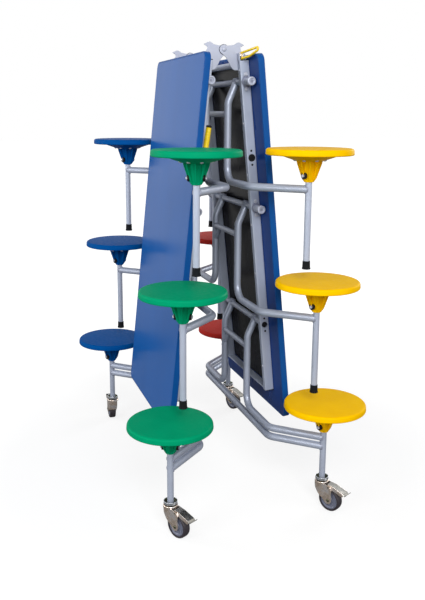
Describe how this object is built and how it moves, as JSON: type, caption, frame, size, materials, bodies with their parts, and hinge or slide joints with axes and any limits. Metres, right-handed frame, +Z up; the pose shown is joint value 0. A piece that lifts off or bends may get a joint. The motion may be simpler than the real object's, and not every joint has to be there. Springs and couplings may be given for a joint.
{
  "type": "mobile folding table with stools",
  "caption": "Folding dining table on casters, two hinged leaves with attached round stools, stored upright in its folded position.",
  "frame": {"origin": "on the floor, midway between the four caster posts, below the centre hinge", "axes": "+X along the unfolded table, from the green and blue stools' side to the yellow and red stools' side; +Y across the table, away from the side seen first; +Z up"},
  "size_m": [0.96, 1.444, 1.8382],
  "materials": {
    "laminate": "glossy blue laminate faces on chipboard",
    "edge_plastic": "satin moulded edge",
    "frame_paint": "silver grey powder coat, satin",
    "plate_paint": "silver grey powder coat, satin",
    "pin_steel": "bright",
    "zinc": "zinc plated",
    "foot_rubber": "matt",
    "tread": "matt",
    "wheel_plastic": "satin",
    "seat_green": "fine grained satin",
    "seat_yellow": "fine grained satin",
    "seat_blue": "fine grained satin",
    "seat_red": "fine grained satin",
    "handle_yellow": "plastic coated steel"
  },
  "bodies": {
    "leaf_left": {"tabletop_left": "laminate", "edge_band_left": "edge_plastic", "leaf_frame_left": "frame_paint", "hinge_plate_left_near": "plate_paint", "hinge_plate_left_far": "plate_paint"},
    "leaf_right": {"tabletop_right": "laminate", "edge_band_right": "edge_plastic", "leaf_frame_right": "frame_paint", "hinge_plate_right_near": "plate_paint", "hinge_plate_right_far": "plate_paint", "centre_pin_near": "pin_steel", "centre_pin_far": "pin_steel"},
    "stool_left_inner": {"stool_frame_left_inner": "frame_paint", "seat_left_inner_near": "seat_green", "foot_left_inner_near": "foot_rubber", "seat_left_inner_far": "seat_blue", "foot_left_inner_far": "foot_rubber"},
    "stool_left_mid": {"stool_frame_left_mid": "frame_paint", "seat_left_mid_near": "seat_green", "foot_left_mid_near": "foot_rubber", "seat_left_mid_far": "seat_blue", "foot_left_mid_far": "foot_rubber"},
    "base_left": {"stool_frame_left_outer": "frame_paint", "seat_left_outer_near": "seat_green", "swivel_ring_left_near": "pin_steel", "seat_left_outer_far": "seat_blue", "swivel_ring_left_far": "pin_steel"},
    "caster_left_near": {"caster_fork_left_near": "zinc"},
    "wheel_left_near": {"wheel_core_left_near": "wheel_plastic", "tyre_left_near": "tread"},
    "pedal_left_near": {"brake_pedal_left_near": "zinc"},
    "caster_left_far": {"caster_fork_left_far": "zinc"},
    "wheel_left_far": {"wheel_core_left_far": "wheel_plastic", "tyre_left_far": "tread"},
    "pedal_left_far": {"brake_pedal_left_far": "zinc"},
    "stool_right_inner": {"stool_frame_right_inner": "frame_paint", "seat_right_inner_near": "seat_yellow", "foot_right_inner_near": "foot_rubber", "seat_right_inner_far": "seat_red", "foot_right_inner_far": "foot_rubber"},
    "stool_right_mid": {"stool_frame_right_mid": "frame_paint", "seat_right_mid_near": "seat_yellow", "foot_right_mid_near": "foot_rubber", "seat_right_mid_far": "seat_red", "foot_right_mid_far": "foot_rubber"},
    "base_right": {"stool_frame_right_outer": "frame_paint", "seat_right_outer_near": "seat_yellow", "swivel_ring_right_near": "pin_steel", "seat_right_outer_far": "seat_red", "swivel_ring_right_far": "pin_steel"},
    "caster_right_near": {"caster_fork_right_near": "zinc"},
    "wheel_right_near": {"wheel_core_right_near": "wheel_plastic", "tyre_right_near": "tread"},
    "pedal_right_near": {"brake_pedal_right_near": "zinc"},
    "caster_right_far": {"caster_fork_right_far": "zinc"},
    "wheel_right_far": {"wheel_core_right_far": "wheel_plastic", "tyre_right_far": "tread"},
    "pedal_right_far": {"brake_pedal_right_far": "zinc"},
    "release_loop": {"release_loop": "handle_yellow"},
    "pull_handle": {"pull_handle": "handle_yellow"}
  },
  "joints": [
    {"name": "fold", "type": "hinge", "parent": "base_left", "child": "leaf_left", "pos_m": [-0.183, 0, 0.695], "axis": [0, 1, 0], "range_deg": [0, 84.2]},
    {"name": "centre_hinge", "type": "hinge", "parent": "leaf_left", "child": "leaf_right", "pos_m": [-0.00004, 0, 1.81021], "axis": [0, 1, 0], "range_deg": [-168.4, 0]},
    {"name": "stool_left_inner_pivot", "type": "hinge", "parent": "leaf_left", "child": "stool_left_inner", "pos_m": [-0.08194, 0, 1.68988], "axis": [0, 1, 0], "range_deg": [-84.2, 0]},
    {"name": "stool_left_mid_pivot", "type": "hinge", "parent": "leaf_left", "child": "stool_left_mid", "pos_m": [-0.13247, 0, 1.19244], "axis": [0, 1, 0], "range_deg": [-84.2, 0]},
    {"name": "stool_right_inner_pivot", "type": "hinge", "parent": "leaf_right", "child": "stool_right_inner", "pos_m": [0.08194, 0, 1.68988], "axis": [0, 1, 0], "range_deg": [0, 84.2]},
    {"name": "stool_right_mid_pivot", "type": "hinge", "parent": "leaf_right", "child": "stool_right_mid", "pos_m": [0.13247, 0, 1.19244], "axis": [0, 1, 0], "range_deg": [0, 84.2]},
    {"name": "base_right_pivot", "type": "hinge", "parent": "leaf_right", "child": "base_right", "pos_m": [0.183, 0, 0.695], "axis": [0, 1, 0], "range_deg": [0, 84.2]},
    {"name": "swivel_left_near", "type": "hinge", "parent": "base_left", "child": "caster_left_near", "pos_m": [-0.318, -0.56, 0.1187], "axis": [0, 0, 1], "continuous": true},
    {"name": "wheel_spin_left_near", "type": "hinge", "parent": "caster_left_near", "child": "wheel_left_near", "pos_m": [-0.29734, -0.59885, 0.0475], "axis": [0.8829, 0.4695, 0], "continuous": true},
    {"name": "brake_left_near", "type": "hinge", "parent": "caster_left_near", "child": "pedal_left_near", "pos_m": [-0.29828, -0.59708, 0.102], "axis": [0.8829, 0.4695, 0], "range_deg": [0, 10]},
    {"name": "swivel_left_far", "type": "hinge", "parent": "base_left", "child": "caster_left_far", "pos_m": [-0.318, 0.56, 0.1187], "axis": [0, 0, 1], "continuous": true},
    {"name": "wheel_spin_left_far", "type": "hinge", "parent": "caster_left_far", "child": "wheel_left_far", "pos_m": [-0.31646, 0.60397, 0.0475], "axis": [-0.9994, 0.0349, 0], "continuous": true},
    {"name": "brake_left_far", "type": "hinge", "parent": "caster_left_far", "child": "pedal_left_far", "pos_m": [-0.31653, 0.60197, 0.102], "axis": [-0.9994, 0.0349, 0], "range_deg": [0, 10]},
    {"name": "swivel_right_near", "type": "hinge", "parent": "base_right", "child": "caster_right_near", "pos_m": [0.318, -0.56, 0.1187], "axis": [0, 0, 1], "continuous": true},
    {"name": "wheel_spin_right_near", "type": "hinge", "parent": "caster_right_near", "child": "wheel_right_near", "pos_m": [0.34, -0.5981, 0.0475], "axis": [0.866, 0.5, 0], "continuous": true},
    {"name": "brake_right_near", "type": "hinge", "parent": "caster_right_near", "child": "pedal_right_near", "pos_m": [0.339, -0.59637, 0.102], "axis": [0.866, 0.5, 0], "range_deg": [0, 10]},
    {"name": "swivel_right_far", "type": "hinge", "parent": "base_right", "child": "caster_right_far", "pos_m": [0.318, 0.56, 0.1187], "axis": [0, 0, 1], "continuous": true},
    {"name": "wheel_spin_right_far", "type": "hinge", "parent": "caster_right_far", "child": "wheel_right_far", "pos_m": [0.33305, 0.51865, 0.0475], "axis": [0.9397, 0.342, 0], "continuous": true},
    {"name": "brake_right_far", "type": "hinge", "parent": "caster_right_far", "child": "pedal_right_far", "pos_m": [0.33237, 0.52053, 0.102], "axis": [0.9397, 0.342, 0], "range_deg": [0, 10]},
    {"name": "release_loop_turn", "type": "hinge", "parent": "leaf_right", "child": "release_loop", "pos_m": [0.06239, -0.242, 1.7864], "axis": [-0.9949, 0, -0.1011], "range_deg": [0, 20]},
    {"name": "pull_handle_turn", "type": "hinge", "parent": "leaf_left", "child": "pull_handle", "pos_m": [-0.11196, 0.322, 1.3944], "axis": [0, 1, 0], "range_deg": [0, 35]}
  ],
  "couplings": [
    {"joint": "centre_hinge", "follows": "fold", "ratio": -2},
    {"joint": "stool_left_inner_pivot", "follows": "fold", "ratio": -1},
    {"joint": "stool_left_mid_pivot", "follows": "fold", "ratio": -1},
    {"joint": "stool_right_inner_pivot", "follows": "fold", "ratio": 1},
    {"joint": "stool_right_mid_pivot", "follows": "fold", "ratio": 1},
    {"joint": "base_right_pivot", "follows": "fold", "ratio": 1}
  ]
}
